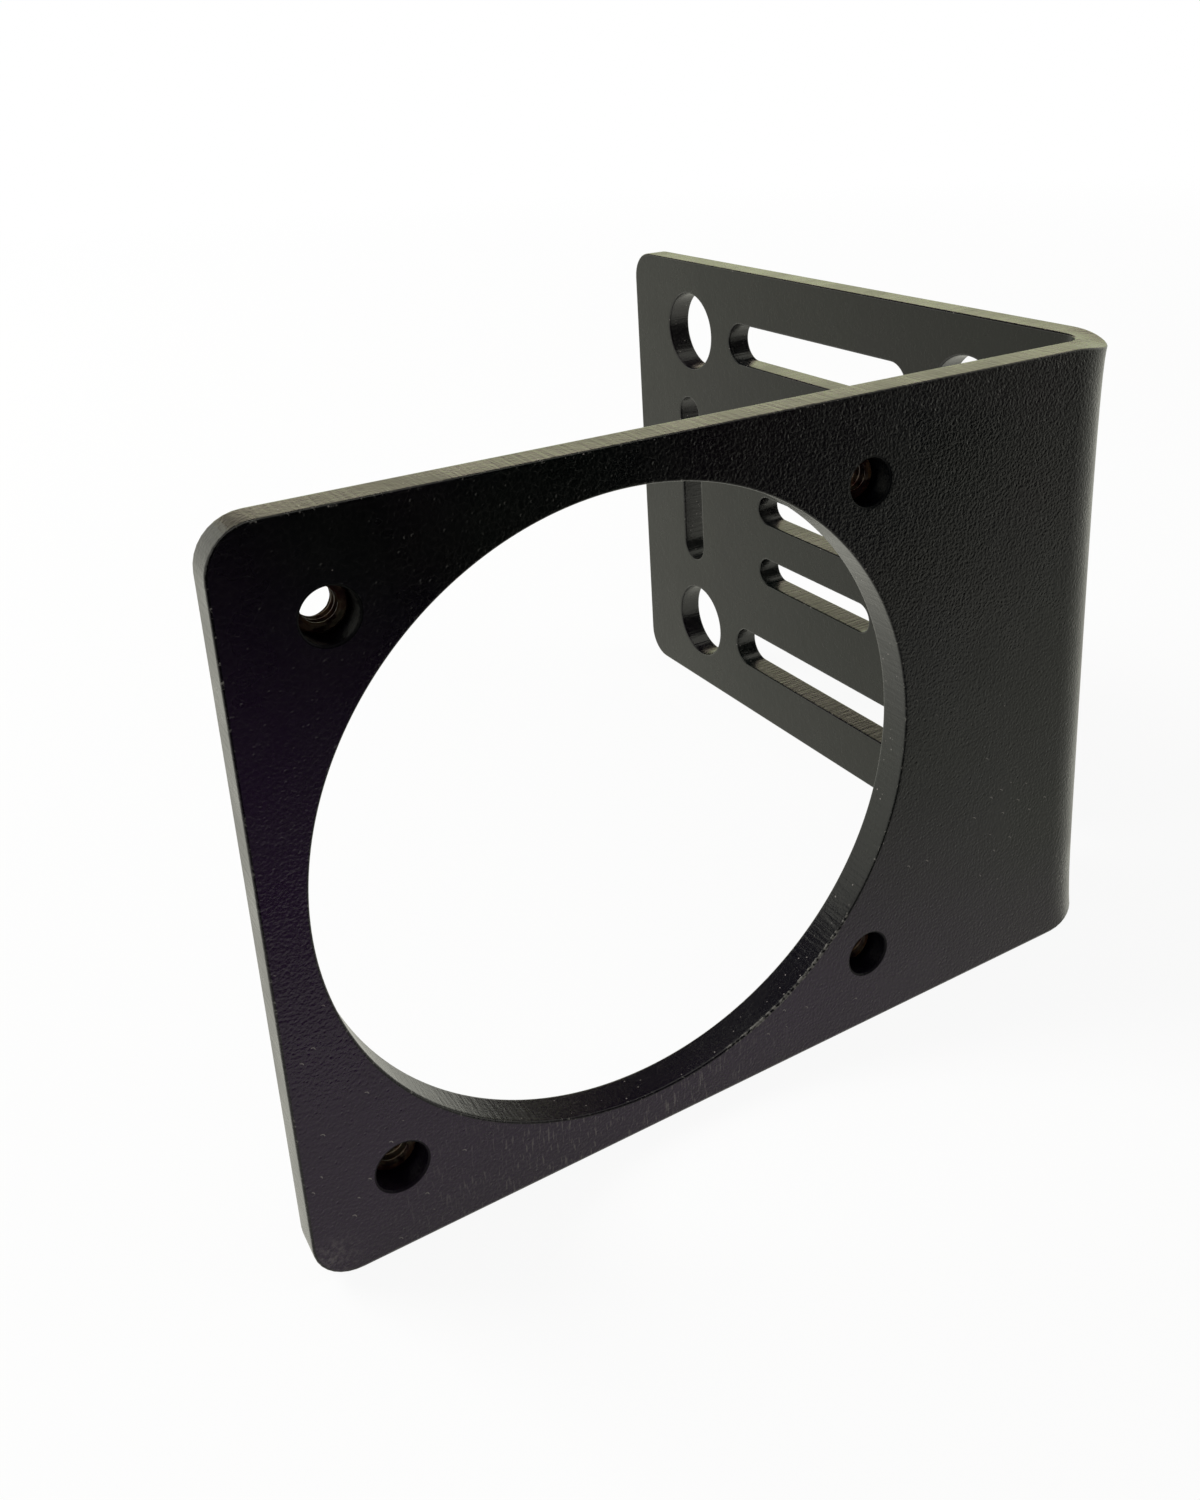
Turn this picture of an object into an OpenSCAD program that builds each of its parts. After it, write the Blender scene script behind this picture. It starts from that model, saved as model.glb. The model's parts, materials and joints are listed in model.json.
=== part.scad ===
// Shore power bracket: one laser-cut steel blank, folded once to a right angle.
// The front flange carries a round power inlet in its large hole, held by four screws that run
// into round clinch nuts pressed in from behind. The rear flange bolts to a wall or a post
// through four round holes, or anywhere along the slots between them.
// The bracket stands on its lower edges. Seen from above, the fold is at +X -Y, the front
// flange faces -Y and the rear flange's mounting face looks to +X.

/* [Sheet] */
// Thickness of the sheet
sheet_t = 4.76; // [3:0.01:6.4]
// Height of both flanges
height = 93; // [88:0.5:120]
// Outside length of the front flange, from the mounting face to its free end
front_len = 129; // [106:0.5:160]
// Outside length of the rear flange, from the front face to its free end
rear_len = 130; // [123:0.5:170]
// Radius inside the fold
fold_r = 7; // [3:0.1:12]
// Radius of the free corners, seen square on
corner_r = 5.5; // [2:0.1:12]
// Chamfer that breaks each cut edge
edge_break = 0.3; // [0.1:0.05:1]

/* [Inlet] */
// Diameter of the large hole
inlet_d = 82.55; // [60:0.05:85]
// Centre of the large hole, from the front flange's free end
inlet_from_end = 46.5; // [44:0.5:58]
// Side of the square on which the four inlet screws stand
screw_square = 69.85; // [67:0.05:78]

/* [Clinch nuts] */
// Hole in the sheet that takes a nut's shank
nut_hole_d = 6.35; // [5.5:0.05:7.5]
// Gap all round the shank in that hole
shank_gap = 0.05; // [0.02:0.01:0.1]
// Length of the shank
shank_len = 1.37; // [1:0.01:2.5]
// Diameter of the barrel behind the sheet
barrel_d = 8.64; // [8.2:0.01:10]
// Height of the barrel
barrel_h = 2.29; // [1.5:0.01:5]
// Bore across the crests of the thread
thread_bore_d = 3.96; // [2.5:0.01:4.2]
// Chamfer on the nut's rims and at both mouths of its bore
nut_break = 0.3; // [0.1:0.05:0.45]

/* [Mounting holes] */
// Diameter of the four round mounting holes
bolt_hole_d = 15.5; // [8:0.1:18]
// Distance between the two columns of mounting holes
bolt_columns = 80.5; // [76:0.5:84]
// Distance between the two rows of mounting holes
bolt_rows = 64.5; // [60:0.5:70]
// Outer column of mounting holes, from the rear flange's free end
bolt_from_end = 21; // [12:0.5:27]

/* [Slots] */
// Overall length of the long slots in the two rows
row_slot_len = 52; // [30:0.5:56]
// Width of the long slots
row_slot_w = 7.8; // [5:0.1:12]
// Distance between the two upright slots, near the columns of mounting holes
column_slots = 83; // [78:0.5:86]
// Overall length of the upright slots
column_slot_len = 36; // [20:0.5:38]
// Width of the upright slots
column_slot_w = 7; // [5:0.1:10]
// Number of plain slots stacked in the middle
mid_slot_count = 3; // [1:1:4]
// Overall length of the middle slots
mid_slot_len = 34; // [12:0.5:56]
// Width of the middle slots
mid_slot_w = 5.5; // [4.5:0.1:7]
// Distance from one middle slot to the next
mid_slot_pitch = 13; // [9:0.1:13.5]

/* [Hidden] */

// Black powder coat, which the nuts' barrels wear too; their threads are bare and rusty
coat_colour = "#2b2b2f";
nut_colour = "#3a3733";

// Facets of round edges, in proportion to their size
fine_fn = 144;
edge_fn = 72;

// How far a cutter runs past the face that it cuts
over = 1;

// The sheet's outer radius at the fold
outer_r = fold_r + sheet_t;
// Flat length of each flange, from the end of the fold to the free end
front_flat = front_len - outer_r;
rear_flat = rear_len - outer_r;
mid_height = height / 2;
// Outside faces: the origin is the middle of the footprint, on the surface that it stands on
mount_face_x = front_len / 2;
front_face_y = -rear_len / 2;
back_of_front_y = front_face_y + sheet_t;

// Centres along each flange, from the end of the fold
inlet_along = front_flat - inlet_from_end;
bolts_mid_along = rear_flat - bolt_from_end - bolt_columns / 2;
inlet_x = -mount_face_x + inlet_from_end;

shank_d = nut_hole_d - 2 * shank_gap;

// Section across the sheet: x through its thickness, y up its height, all four edges broken
module sheet_section() {
    polygon([[edge_break, 0], [sheet_t - edge_break, 0],
             [sheet_t, edge_break], [sheet_t, height - edge_break],
             [sheet_t - edge_break, height], [edge_break, height],
             [0, height - edge_break], [0, edge_break]]);
}

// Half of the sheet's section as it meets a free edge at x = reach
module edge_section(reach) {
    polygon([[0, 0], [reach - edge_break, 0], [reach, edge_break],
             [reach, sheet_t - edge_break], [reach - edge_break, sheet_t], [0, sheet_t]]);
}

// A flat flange: x runs from the fold to the free end, y from the outer to the inner face
module flange_blank(length) {
    straight = length - corner_r;
    rotate([90, 0, 90]) linear_extrude(straight) sheet_section();
    translate([straight, 0, corner_r])
        linear_extrude(height - 2 * corner_r) edge_section(corner_r);
    for (side = [0, 1])
        translate([straight, 0, side == 0 ? corner_r : height - corner_r])
            mirror([0, 0, side])
                rotate([-90, 0, 0]) rotate_extrude(angle = 90, $fn = edge_fn) edge_section(corner_r);
}

// Cutter for a round hole through the sheet, with its front and, if asked, its back rim broken
module round_hole(d, back_break = edge_break) {
    r = d / 2;
    rotate([-90, 0, 0])
        rotate_extrude($fn = fine_fn)
            polygon([[0, -over], [r + edge_break + over, -over], [r, edge_break],
                     [r, sheet_t - back_break], [r + back_break + over, sheet_t + over],
                     [0, sheet_t + over]]);
}

// Cutter for a slot with round ends and broken rims, along x and centred on the origin
module slot_hole(length, width) {
    r = width / 2;
    reach = length / 2 - r;
    flare = r + edge_break + over;
    for (side = [-1, 1]) translate([side * reach, 0, 0]) round_hole(width);
    translate([-reach, 0, 0])
        rotate([90, 0, 90])
            linear_extrude(2 * reach)
                polygon([[-over, -flare], [edge_break, -r], [sheet_t - edge_break, -r],
                         [sheet_t + over, -flare], [sheet_t + over, flare],
                         [sheet_t - edge_break, r], [edge_break, r], [-over, flare]]);
}

// Repeats its children at the four corners of a rectangle in the flange's plane
module at_corners(across, up) {
    for (x = [-1, 1], z = [-1, 1]) translate([x * across / 2, 0, z * up / 2]) children();
}

module front_flange() {
    difference() {
        flange_blank(front_flat);
        translate([inlet_along, 0, mid_height]) {
            round_hole(inlet_d);
            at_corners(screw_square, screw_square) round_hole(nut_hole_d, 0);
        }
    }
}

module rear_flange() {
    difference() {
        flange_blank(rear_flat);
        translate([bolts_mid_along, 0, mid_height]) {
            at_corners(bolt_columns, bolt_rows) round_hole(bolt_hole_d);
            for (side = [-1, 1]) {
                translate([0, 0, side * bolt_rows / 2]) slot_hole(row_slot_len, row_slot_w);
                translate([side * column_slots / 2, 0, 0])
                    rotate([0, 90, 0]) slot_hole(column_slot_len, column_slot_w);
            }
            for (i = [0 : mid_slot_count - 1])
                translate([0, 0, (i - (mid_slot_count - 1) / 2) * mid_slot_pitch])
                    slot_hole(mid_slot_len, mid_slot_w);
        }
    }
}

// The quarter turn between the flanges, about an upright axis
module fold() {
    translate([mount_face_x - outer_r, front_face_y + outer_r, 0])
        rotate([0, 0, -90])
            rotate_extrude(angle = 90, $fn = fine_fn)
                translate([outer_r, 0]) mirror([1, 0]) sheet_section();
}

module angle_plate() {
    color(coat_colour) {
        fold();
        translate([mount_face_x - outer_r, front_face_y, 0]) mirror([1, 0, 0]) front_flange();
        translate([mount_face_x, front_face_y + outer_r, 0]) rotate([0, 0, 90]) rear_flange();
    }
}

// A round clinch nut: the shank points down into the sheet, the barrel stands on z = 0
module clinch_nut() {
    shank_r = shank_d / 2;
    barrel_r = barrel_d / 2;
    bore_r = thread_bore_d / 2;
    color(nut_colour)
        rotate_extrude($fn = edge_fn)
            polygon([[bore_r + nut_break, -shank_len], [shank_r - nut_break, -shank_len],
                     [shank_r, nut_break - shank_len], [shank_r, 0],
                     [barrel_r, 0], [barrel_r, barrel_h - nut_break],
                     [barrel_r - nut_break, barrel_h], [bore_r + nut_break, barrel_h],
                     [bore_r, barrel_h - nut_break], [bore_r, nut_break - shank_len]]);
}

// Seats a nut on the back of the front flange, behind one of the screw holes.
// Left and right are as seen from the front: side is -1 at the free end, 1 at the fold.
module seated_nut(side, level) {
    translate([inlet_x + side * screw_square / 2, back_of_front_y,
               mid_height + level * screw_square / 2])
        rotate([-90, 0, 0]) clinch_nut();
}

module clinch_nut_upper_left() seated_nut(-1, 1);
module clinch_nut_upper_right() seated_nut(1, 1);
module clinch_nut_lower_left() seated_nut(-1, -1);
module clinch_nut_lower_right() seated_nut(1, -1);

angle_plate();
clinch_nut_upper_left();
clinch_nut_upper_right();
clinch_nut_lower_left();
clinch_nut_lower_right();
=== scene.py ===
import json
import logging
import math
from dataclasses import dataclass, field
from enum import IntEnum
from typing import Any

import bpy
import numpy as np
from mathutils import Matrix, Vector
from mathutils.geometry import delaunay_2d_cdt


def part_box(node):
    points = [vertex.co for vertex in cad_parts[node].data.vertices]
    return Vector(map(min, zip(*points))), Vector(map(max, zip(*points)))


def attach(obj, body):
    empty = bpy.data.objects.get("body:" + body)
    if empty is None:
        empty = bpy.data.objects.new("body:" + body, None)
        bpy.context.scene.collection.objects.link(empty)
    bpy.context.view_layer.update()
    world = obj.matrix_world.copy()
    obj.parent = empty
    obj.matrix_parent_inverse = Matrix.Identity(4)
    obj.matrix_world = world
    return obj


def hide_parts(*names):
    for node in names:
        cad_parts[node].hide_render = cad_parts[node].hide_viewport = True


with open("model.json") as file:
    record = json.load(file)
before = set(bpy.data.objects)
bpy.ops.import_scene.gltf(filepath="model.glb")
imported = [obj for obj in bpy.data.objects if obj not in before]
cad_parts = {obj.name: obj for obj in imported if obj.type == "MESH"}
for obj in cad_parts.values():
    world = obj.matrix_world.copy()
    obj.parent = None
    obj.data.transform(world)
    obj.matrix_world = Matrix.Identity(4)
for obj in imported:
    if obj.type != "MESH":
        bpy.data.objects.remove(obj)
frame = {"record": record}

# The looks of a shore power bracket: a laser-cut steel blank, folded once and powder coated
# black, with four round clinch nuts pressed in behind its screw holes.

LOG = logging.getLogger("shore_power_bracket")
MM = 0.001
PLATE_NODE = "angle_plate"
NUT_NODES = ("clinch_nut_upper_left", "clinch_nut_upper_right",
             "clinch_nut_lower_left", "clinch_nut_lower_right")
# A length or a share that counts as nothing
TINY = 1e-6

# Names of inputs that take their values as a pair
FROM = ("From Min", "From Max")
TO = ("To Min", "To Max")

# Two numbers, a place or a direction, and what the shader nodes are made of
Pair = tuple[float, float]
Place = tuple[float, float, float]
Inputs = dict[str | int | tuple[str, ...], Any]
Tree = bpy.types.NodeTree
Node = bpy.types.Node
Socket = bpy.types.NodeSocket


class SheetPart(IntEnum):
    """The surfaces of the sheet that look different, in the order of its material slots."""

    OUTER = 0
    INNER = 1
    CUT_EDGE = 2
    SCREW_WALL = 3


class NutPart(IntEnum):
    """The surfaces of a clinch nut, in the order of its material slots."""

    BARREL = 0
    THREAD = 1


def linear(hex_colour: str) -> tuple[float, float, float, float]:
    """Turns an sRGB hex colour into linear red, green, blue and alpha.

    Args:
        hex_colour: The colour, such as "#1a1b1e".

    Returns:
        The four linear values, with alpha 1.
    """
    channels = (int(hex_colour[i:i + 2], 16) / 255 for i in (1, 3, 5))
    red, green, blue = (c / 12.92 if c <= 0.04045 else ((c + 0.055) / 1.055) ** 2.4
                        for c in channels)
    return red, green, blue, 1.0


def pattern(place: Node | Socket, spacing_mm: float) -> Inputs:
    """The inputs of a texture whose pattern repeats at this spacing."""
    return {"Vector": place, "Scale": 1 / (spacing_mm * MM)}


def add_node(tree: Tree, kind: str, inputs: Inputs | None = None, **settings: Any) -> Node:
    """Adds one shader node with its settings and links.

    Args:
        tree: The node tree that takes the node.
        kind: The node's type, without the leading "ShaderNode".
        inputs: For each input, by name or number, a value, the socket that feeds it, or the
            node whose first output in use feeds it. A tuple of names takes a tuple of them.
        settings: The node's own properties.

    Returns:
        The new node.
    """
    made = tree.nodes.new("ShaderNode" + kind)
    for name, value in settings.items():
        setattr(made, name, value)
    for keys, values in (inputs or {}).items():
        if not isinstance(keys, tuple):
            keys, values = (keys,), (values,)
        for key, value in zip(keys, values):
            socket = made.inputs[key] if isinstance(key, int) else next(
                s for s in made.inputs if s.name == key and s.enabled)
            if isinstance(value, Node):
                value = next(s for s in value.outputs if s.enabled)
            if isinstance(value, Socket):
                tree.links.new(value, socket)
            else:
                socket.default_value = value
    return made


def new_tree(owner: bpy.types.Material | bpy.types.World) -> Tree:
    """Gives a new material or world an empty node tree.

    Args:
        owner: The material or world.

    Returns:
        Its node tree.
    """
    owner.use_nodes = True
    owner.node_tree.nodes.clear()
    return owner.node_tree


def link(piece: bpy.types.Object) -> bpy.types.Object:
    """Puts an object into the scene and returns it."""
    bpy.context.scene.collection.objects.link(piece)
    return piece


def mount(name: str) -> dict[str, Any]:
    """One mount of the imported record, by its name."""
    return next(m for m in frame["record"]["mounts"] if m["name"] == name)


@dataclass(frozen=True)
class PowderCoat:
    """Black polyester powder, sprayed and baked on laser-cut steel.

    It gives the eye a satin black skin full of fine pits, in which the pale surroundings show
    only as a grey sheen. The black drifts to blue, green and, at the free end and the foot of
    the front flange, violet. Pale dust dots, curved nicks and short upright pale streaks sit in
    it. The nicks' pale arcs all keep to one side, a painted highlight, and on a cut edge the
    dense pale dots are painted glints. The rims are chipped to grey, and the chips carry a
    painted highlight, strongest along the inlet hole's lower right rim. A range holds the value
    at which a pattern starts and the one at which it is full. Places and ranges along an axis
    are in metres.
    """

    name: str
    black: str = "#070209"
    blue: str = "#02030b"
    green: str = "#030706"
    drift_mm: float = 26.0
    drift_range: Pair = (0.42, 0.62)
    drift_seed: float = 3.0
    violet: str = "#24102e"
    violet_share: float = 1.0
    violet_way: Place = (-1.0, 0.0, -1.5)
    violet_range: Pair = (-0.09, -0.01)
    ior: float = 1.5
    specular: float = 0.5
    roughness: float = 0.29
    blotch_mm: float = 9.0
    blotch_range: Pair = (0.3, 0.7)
    blotch_shift: Pair = (-0.04, 0.05)
    pit_mm: float = 0.9
    pit_r_mm: float = 0.24
    pit_depth_mm: float = 0.08
    pit_range: Pair = (0.3, 1.0)
    grain_mm: float = 0.42
    grain_depth_mm: float = 0.1
    swell_mm: float = 2.6
    swell_depth_mm: float = 0.02
    striation_mm: float = 0.0
    striation_depth_mm: float = 0.035
    striation_draw: float = 0.08
    # The pale colour of the dots, nicks, scuff and streaks; on the nicks' arcs and on a cut
    # edge's dense dots it is painted highlight
    speck_and_highlight: str = "#86807c"
    dust_and_glint_mm: float = 5.0
    dust_and_glint_r_mm: float = 0.09
    dust_and_glint_least: float = 0.55
    # Curved nicks, whose pale arcs all sit on one side of their circles as a painted highlight
    nick_and_highlight_share: float = 0.0
    nick_mm: float = 2.4
    nick_r_mm: float = 0.32
    nick_width: float = 0.022
    nick_lit_side: Place = (0.6, 0.0, 0.8)
    nick_arc: float = 0.45
    nick_patch_mm: float = 14.0
    nick_patch_least: float = 0.5
    nick_up: Pair = (0.055, 0.03)
    scuffed_at: Place = (-0.0625, -0.065, 0.003)
    scuffed_mm: float = 4.5
    scuffed_share: float = 0.3
    mottle_mm: float = 0.7
    mottle_range: Pair = (0.45, 0.65)
    # Short upright pale streaks near the front flange's foot
    streak_share: float = 0.0
    streak_mm: float = 0.27
    streak_draw: float = 0.16
    streak_range: Pair = (0.58, 0.68)
    streak_reach: tuple[tuple[str, Pair], ...] = (("Z", (0.02, 0.005)), ("X", (0.006, -0.012)),
                                                ("X", (-0.058, -0.036)))
    # Chips on the rims, which also carry a painted highlight, strongest near one spot on the
    # inlet hole's rim
    chip_and_highlight: str = "#94918a"
    chip_and_highlight_share: float = 0.42
    chip_and_highlight_mm: float = 0.5
    chip_and_highlight_range: Pair = (0.6, 0.72)
    highlit_rim_at: Place = (0.004, -0.065, 0.0115)
    highlit_rim_mm: Pair = (14.0, 8.4)
    highlit_rim_more: float = 0.17

    def build(self) -> bpy.types.Material:
        """Makes the material.

        Returns:
            The new material, which works in the object's own coordinates.
        """
        material = bpy.data.materials.new(self.name)
        tree = new_tree(material)
        place = add_node(tree, "TexCoord").outputs["Object"]
        colour: Any = linear(self.black)
        for share, hue in self._layers(tree, place):
            colour = add_node(tree, "Mix", {"Factor": share, "A": colour, "B": linear(hue)},
                              data_type="RGBA")
        bump = add_node(tree, "Bump", {"Height": self._height(tree, place), "Distance": MM})
        blotch = add_node(tree, "TexNoise", {**pattern(place, self.blotch_mm), "Detail": 3.0})
        least, most = (self.roughness + shift for shift in self.blotch_shift)
        roughness = add_node(tree, "MapRange", {"Value": blotch, FROM: self.blotch_range,
                                                TO: (least, most)})
        shader = add_node(tree, "BsdfPrincipled", {"Base Color": colour, "Normal": bump,
                                                   "Roughness": roughness, "IOR": self.ior,
                                                   "Specular IOR Level": self.specular})
        add_node(tree, "OutputMaterial", {"Surface": shader})
        return material

    def _layers(self, tree: Tree, place: Socket) -> list[tuple[Node, str]]:
        """The colours that lie over the black, from the lowest up.

        Args:
            tree: The material's node tree.
            place: The object coordinates.

        Returns:
            For each, the node that gives its share, and its hex value.
        """
        layers = []
        for turn, hue in enumerate((self.blue, self.green)):
            drift = add_node(tree, "TexNoise", {**pattern(place, self.drift_mm), "Detail": 1.0,
                                                "W": self.drift_seed * turn},
                             noise_dimensions="4D")
            share = add_node(tree, "MapRange", {"Value": drift, FROM: self.drift_range})
            layers.append((share, hue))
        towards = add_node(tree, "VectorMath", {0: place, 1: self.violet_way},
                           operation="DOT_PRODUCT")
        share = add_node(tree, "MapRange", {"Value": towards, FROM: self.violet_range,
                                            "To Max": self.violet_share},
                         interpolation_type="SMOOTHSTEP")
        # Violet, then the pale dots, which on a cut edge are painted glints
        layers += [(share, self.violet), (self._dust_and_glints(tree, place), self.speck_and_highlight)]
        # The nicks with their painted highlight arcs, the scuff and the pale streaks
        if self.nick_and_highlight_share:
            marks_and_highlights = self._nicks_and_highlights(tree, place)
            for more in (self._scuff(tree, place), self._pale_streaks(tree, place)):
                marks_and_highlights = add_node(tree, "Math", {0: marks_and_highlights, 1: more}, operation="ADD")
            layers.append((marks_and_highlights, self.speck_and_highlight))
        # Last the rims' chips, which carry a painted highlight
        return [*layers, (self._chips_and_highlight(tree, place), self.chip_and_highlight)]

    def _dust_and_glints(self, tree: Tree, place: Socket) -> Node:
        """The dust dots, which lie all over; where they lie dense, as on a cut edge, they are
        painted glints.

        Args:
            tree: The material's node tree.
            place: The object coordinates.

        Returns:
            The node that gives their share.
        """
        cells = add_node(tree, "TexVoronoi", pattern(place, self.dust_and_glint_mm)).outputs
        reach = self.dust_and_glint_r_mm / self.dust_and_glint_mm
        dots = add_node(tree, "MapRange", {"Value": cells["Distance"], FROM: (reach, reach / 2)})
        some = add_node(tree, "Math", {0: cells["Color"], 1: self.dust_and_glint_least},
                        operation="GREATER_THAN")
        return add_node(tree, "Math", {0: dots, 1: some}, operation="MULTIPLY")

    def _nicks_and_highlights(self, tree: Tree, place: Socket) -> Node:
        """The curved nicks, each a part of a small circle, in clusters on the lower half. Each
        arc keeps only its side towards one direction, a painted highlight on the nick's rim.

        Args:
            tree: The material's node tree.
            place: The object coordinates.

        Returns:
            The node that gives their share.
        """
        cells = add_node(tree, "TexVoronoi", pattern(place, self.nick_mm)).outputs
        arcs = add_node(tree, "Math", {0: cells["Distance"], 1: self.nick_r_mm / self.nick_mm,
                                       2: self.nick_width}, operation="COMPARE")
        inwards = add_node(tree, "VectorMath", {0: place, 1: cells["Position"]},
                           operation="SUBTRACT")
        side = add_node(tree, "VectorMath", {0: inwards, 1: self.nick_lit_side},
                        operation="DOT_PRODUCT")
        patch = add_node(tree, "TexNoise", pattern(place, self.nick_patch_mm))
        for value, least in ((side, self.nick_r_mm * MM * self.nick_arc),
                             (patch, self.nick_patch_least)):
            kept = add_node(tree, "Math", {0: value, 1: least}, operation="GREATER_THAN")
            arcs = add_node(tree, "Math", {0: arcs, 1: kept}, operation="MULTIPLY")
        up = add_node(tree, "SeparateXYZ", {"Vector": place}).outputs["Z"]
        share = add_node(tree, "MapRange", {"Value": up, FROM: self.nick_up,
                                            "To Max": self.nick_and_highlight_share})
        return add_node(tree, "Math", {0: arcs, 1: share}, operation="MULTIPLY")

    def _scuff(self, tree: Tree, place: Socket) -> Node:
        """The scuffed corner, mottled and strongest in its middle.

        Args:
            tree: The material's node tree.
            place: The object coordinates.

        Returns:
            The node that gives its share.
        """
        away = add_node(tree, "VectorMath", {0: place, 1: self.scuffed_at},
                        operation="DISTANCE").outputs["Value"]
        near = add_node(tree, "MapRange", {"Value": away, FROM: (self.scuffed_mm * MM, 0.0),
                                           "To Max": self.scuffed_share})
        mottle = add_node(tree, "TexNoise", {**pattern(place, self.mottle_mm), "Detail": 4.0})
        mottle = add_node(tree, "MapRange", {"Value": mottle, FROM: self.mottle_range})
        return add_node(tree, "Math", {0: near, 1: mottle}, operation="MULTIPLY")

    def _pale_streaks(self, tree: Tree, place: Socket) -> Node:
        """The short upright pale streaks at the front flange's foot, left of the middle.

        Args:
            tree: The material's node tree.
            place: The object coordinates.

        Returns:
            The node that gives their share.
        """
        drawn = add_node(tree, "Mapping", {"Vector": place, "Scale": (1.0, 1.0, self.streak_draw)})
        streaks = add_node(tree, "TexNoise", pattern(drawn, self.streak_mm))
        streaks = add_node(tree, "MapRange", {"Value": streaks, FROM: self.streak_range,
                                            "To Max": self.streak_share})
        at = add_node(tree, "SeparateXYZ", {"Vector": place}).outputs
        for axis, reach in self.streak_reach:
            within = add_node(tree, "MapRange", {"Value": at[axis], FROM: reach})
            streaks = add_node(tree, "Math", {0: streaks, 1: within}, operation="MULTIPLY")
        return streaks

    def _chips_and_highlight(self, tree: Tree, place: Socket) -> Node:
        """The chips and the painted highlight along the rounded rims, most along the inlet hole's
        lower right rim.

        Args:
            tree: The material's node tree.
            place: The object coordinates.

        Returns:
            The node that gives their share.
        """
        rim = add_node(tree, "Attribute", attribute_name="rim").outputs["Fac"]
        flake = add_node(tree, "TexNoise", {**pattern(place, self.chip_and_highlight_mm), "Detail": 4.0})
        away = add_node(tree, "VectorMath", {0: place, 1: self.highlit_rim_at},
                        operation="DISTANCE").outputs["Value"]
        start, full = self.highlit_rim_mm
        highlit_rim = add_node(tree, "MapRange", {"Value": away, FROM: (start * MM, full * MM),
                                              "To Max": self.highlit_rim_more})
        flake = add_node(tree, "Math", {0: flake, 1: highlit_rim}, operation="ADD")
        worn_and_highlit = add_node(tree, "Math", {0: rim, 1: flake}, operation="MULTIPLY")
        return add_node(tree, "MapRange", {"Value": worn_and_highlit, FROM: self.chip_and_highlight_range,
                                           "To Max": self.chip_and_highlight_share})

    def _height(self, tree: Tree, place: Socket) -> Node:
        """The pits, the fine grain, the slow swell and, on a cut edge, the laser's striations.

        Args:
            tree: The material's node tree.
            place: The object coordinates.

        Returns:
            The node that gives the height in millimetres.
        """
        cells = add_node(tree, "TexVoronoi", pattern(place, self.pit_mm)).outputs
        depth = add_node(tree, "MapRange", {"Value": cells["Color"], FROM: self.pit_range,
                                            "To Max": self.pit_depth_mm})
        rise = add_node(tree, "MapRange", {"Value": cells["Distance"],
                                           FROM: (0.0, self.pit_r_mm / self.pit_mm)},
                        interpolation_type="SMOOTHSTEP")
        height = add_node(tree, "Math", {0: rise, 1: depth}, operation="MULTIPLY")
        for spacing, amount in ((self.grain_mm, self.grain_depth_mm),
                                (self.swell_mm, self.swell_depth_mm)):
            wave = add_node(tree, "TexNoise", {**pattern(place, spacing), "Detail": 1.0})
            height = add_node(tree, "Math", {0: wave, 1: amount, 2: height},
                              operation="MULTIPLY_ADD")
        if not self.striation_mm:
            return height
        run = add_node(tree, "UVMap", uv_map="blank")
        drawn = add_node(tree, "Mapping", {"Vector": run,
                                           "Scale": (1.0, self.striation_draw, 1.0)})
        lines = add_node(tree, "TexNoise", {**pattern(drawn, self.striation_mm), "Detail": 2.0},
                         noise_dimensions="2D")
        return add_node(tree, "Math", {0: lines, 1: self.striation_depth_mm, 2: height},
                        operation="MULTIPLY_ADD")


@dataclass(frozen=True)
class BareThreadSteel:
    """Cut steel inside a clinch nut, masked from the powder and gone dull.

    It gives the eye a greyish olive glint on the thread's crests, with brown and dark red rust
    in patches of about a millimetre.
    """

    name: str
    steel: str = "#5f5848"
    brown: str = "#402b18"
    red: str = "#2c0b08"
    roughness: float = 0.42
    metallic: float = 0.7
    patch_mm: float = 1.3
    patch_seed: float = 5.0
    brown_range: Pair = (0.38, 0.52)
    red_range: Pair = (0.46, 0.56)
    grain_mm: float = 0.25
    grain_depth_mm: float = 0.02

    def build(self) -> bpy.types.Material:
        """Makes the material.

        Returns:
            The new material, which works in the object's own coordinates.
        """
        material = bpy.data.materials.new(self.name)
        tree = new_tree(material)
        place = add_node(tree, "TexCoord").outputs["Object"]
        brown, red = (add_node(tree, "TexNoise", {**pattern(place, self.patch_mm),
                                                  "Detail": 3.0, "W": self.patch_seed * turn},
                               noise_dimensions="4D") for turn in (0, 1))
        rusted = add_node(tree, "MapRange", {"Value": brown, FROM: self.brown_range})
        colour = add_node(tree, "Mix", {"Factor": rusted, "A": linear(self.steel),
                                        "B": linear(self.brown)}, data_type="RGBA")
        deep = add_node(tree, "MapRange", {"Value": red, FROM: self.red_range})
        colour = add_node(tree, "Mix", {"Factor": deep, "A": colour, "B": linear(self.red)},
                          data_type="RGBA")
        metallic = add_node(tree, "MapRange", {"Value": rusted, TO: (self.metallic, 0.0)})
        grain = add_node(tree, "TexNoise", {**pattern(place, self.grain_mm), "Detail": 2.0})
        bump = add_node(tree, "Bump", {"Height": grain, "Distance": self.grain_depth_mm * MM})
        shader = add_node(tree, "BsdfPrincipled", {"Base Color": colour, "Metallic": metallic,
                                                   "Roughness": self.roughness,
                                                   "Normal": bump})
        add_node(tree, "OutputMaterial", {"Surface": shader})
        return material


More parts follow.
